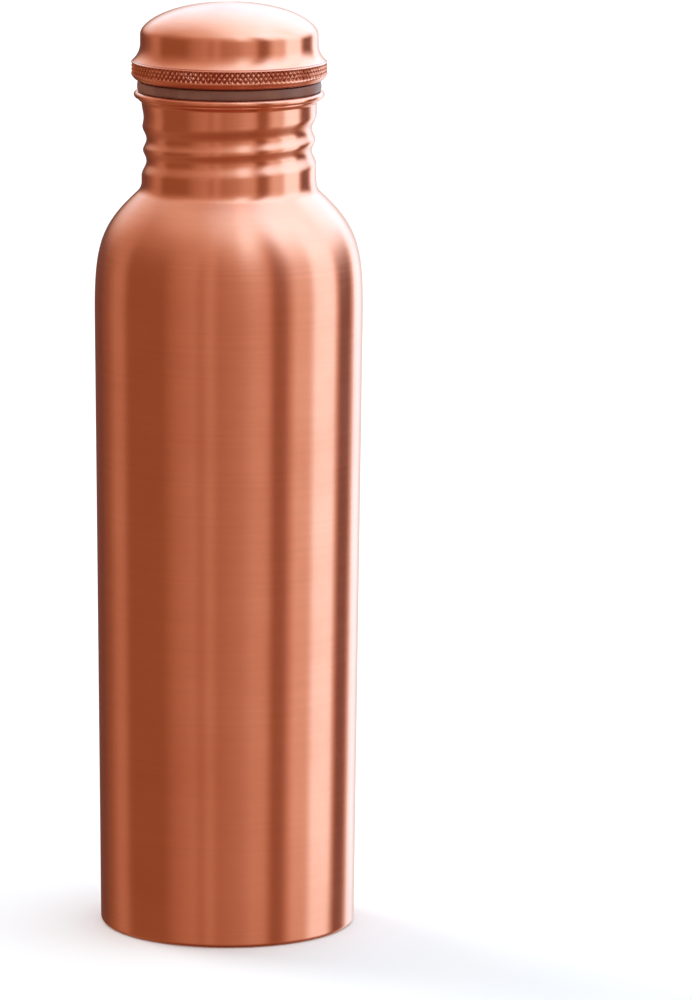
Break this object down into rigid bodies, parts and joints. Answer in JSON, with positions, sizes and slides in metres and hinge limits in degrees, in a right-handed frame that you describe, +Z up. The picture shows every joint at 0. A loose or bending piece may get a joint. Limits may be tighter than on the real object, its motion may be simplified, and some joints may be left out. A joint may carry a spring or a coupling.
{
  "type": "water bottle",
  "caption": "Tall round copper water bottle with a tapered body, rounded shoulder, rolled screw-thread neck and a domed screw cap with a knurled grip band and sealing ring.",
  "frame": {"origin": "on the bottle's axis at the height of the surface it stands on", "axes": "+Z up along the bottle's axis; +X to the right and -Y towards the viewer, though the body is round"},
  "size_m": [0.078, 0.078, 0.2711],
  "materials": {
    "body_copper": "fine brushed copper, lacquered",
    "base_copper": "brushed copper, slightly darker",
    "cap_copper": "fine brushed copper, lacquered",
    "plug_copper": "plain drawn copper",
    "gasket_silicone": "matt translucent silicone"
  },
  "bodies": {
    "bottle": {"body_shell": "body_copper", "base_plate": "base_copper"},
    "seal": {"gasket": "gasket_silicone"},
    "cap": {"cap_shell": "cap_copper", "threaded_plug": "plug_copper"}
  },
  "joints": [
    {"name": "cap_lift", "type": "slide", "parent": "bottle", "child": "seal", "axis": [0, 0, 1], "range_m": [0, 0.03176]},
    {"name": "cap_turn", "type": "hinge", "parent": "seal", "child": "cap", "pos_m": [0, 0, 0.2485], "axis": [0, 0, 1], "range_deg": [0, 1800]}
  ],
  "couplings": [
    {"joint": "cap_lift", "follows": "cap_turn", "m_per_rad": 0.0010106}
  ]
}
